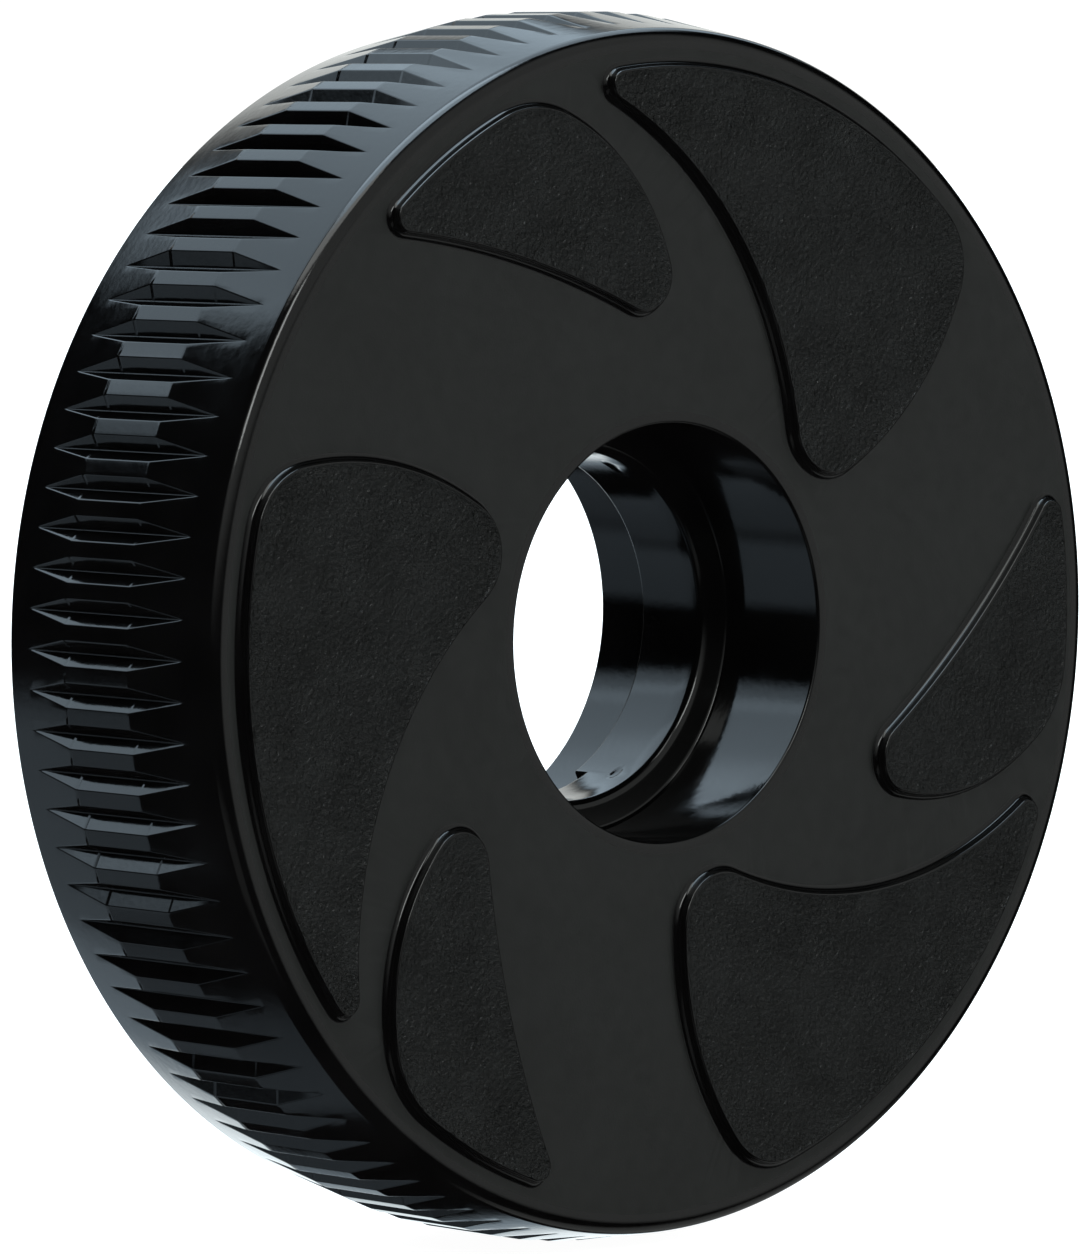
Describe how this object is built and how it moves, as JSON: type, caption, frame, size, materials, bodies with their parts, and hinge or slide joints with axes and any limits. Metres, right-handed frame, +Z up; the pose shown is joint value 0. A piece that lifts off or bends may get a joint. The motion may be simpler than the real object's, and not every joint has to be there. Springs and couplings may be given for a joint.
{
  "type": "grooved plastic wheel",
  "caption": "Moulded plastic wheel with V-grooved tread, raised swirl pads on its face and a stepped bore with a bearing seat at each end.",
  "frame": {"origin": "on the axle axis, midway between the tops of the face pads and the back of the hub", "axes": "+Y along the axle axis, from the patterned face towards the hollow back; +Z up"},
  "size_m": [0.065, 0.0174, 0.065],
  "materials": {
    "black_plastic": "satin"
  },
  "bodies": {
    "root": {"wheel": "black_plastic"}
  },
  "joints": []
}
